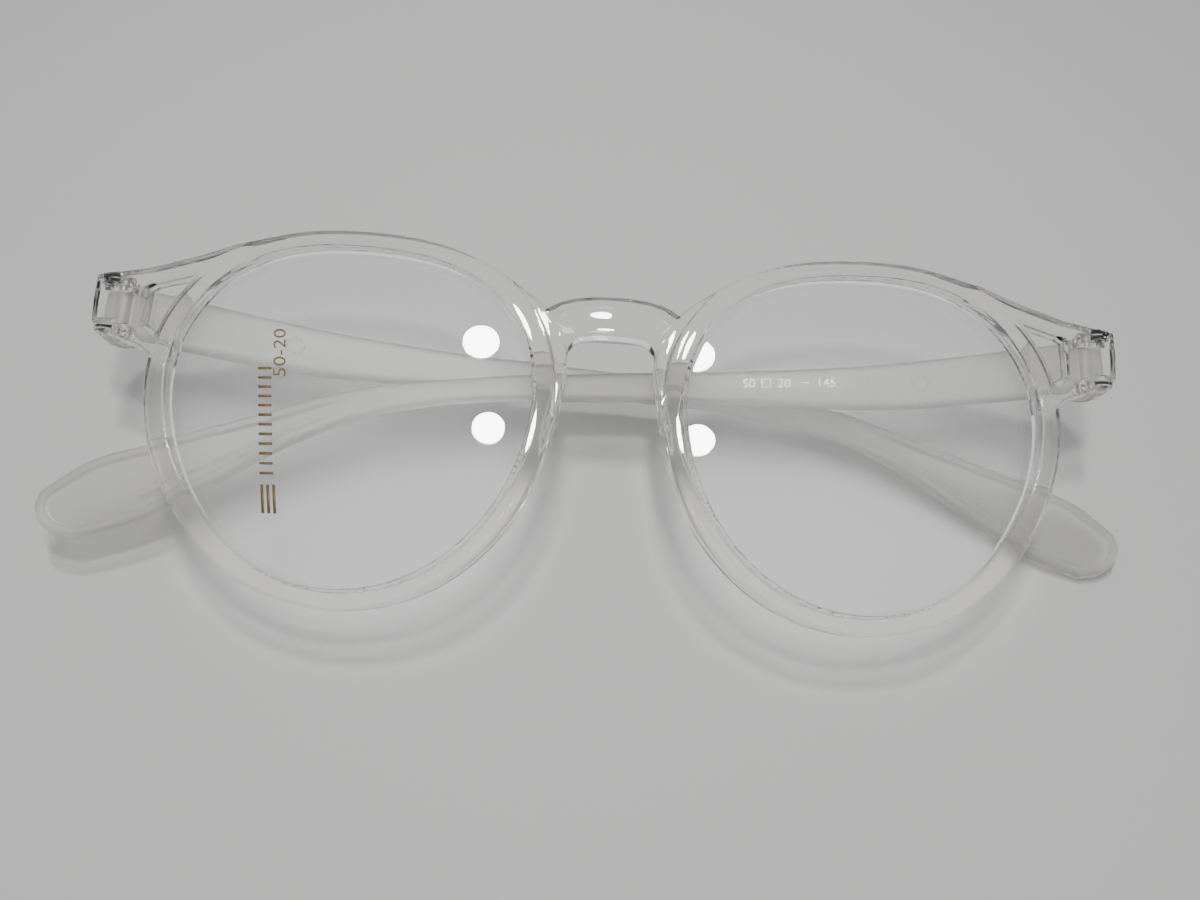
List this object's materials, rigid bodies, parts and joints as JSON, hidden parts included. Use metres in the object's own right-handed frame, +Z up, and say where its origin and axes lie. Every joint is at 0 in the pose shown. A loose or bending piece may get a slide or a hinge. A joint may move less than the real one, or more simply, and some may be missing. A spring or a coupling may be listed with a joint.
{
  "type": "eyeglasses",
  "caption": "Folded round eyeglasses with a clear moulded front, clear dummy lenses and frosted temples on screwed plastic hinges.",
  "frame": {"origin": "the middle of the bounding box, on the surface that the folded glasses lie on", "axes": "+X across the front towards the wearer's left, +Y along the surface towards the front's top edge, +Z up"},
  "size_m": [0.1515, 0.0512, 0.0261],
  "materials": {
    "clear": "polished clear plastic",
    "lens": "polished clear plastic",
    "frosted": "frosted, satin",
    "steel": "satin"
  },
  "bodies": {
    "front": {"front_frame": "clear", "lens_left": "lens", "lens_right": "lens", "hinge_screw_left": "steel", "hinge_screw_right": "steel"},
    "temple_left": {"temple_left": "frosted"},
    "temple_right": {"temple_right": "frosted"}
  },
  "joints": [
    {"name": "fold_left", "type": "hinge", "parent": "front", "child": "temple_left", "pos_m": [0.06895, 0.01552, 0.01483], "axis": [0, -0.9636, -0.2672], "range_deg": [0, 92]},
    {"name": "fold_right", "type": "hinge", "parent": "front", "child": "temple_right", "pos_m": [-0.06945, 0.01552, 0.01483], "axis": [0, 0.9636, 0.2672], "range_deg": [0, 89.1]}
  ]
}
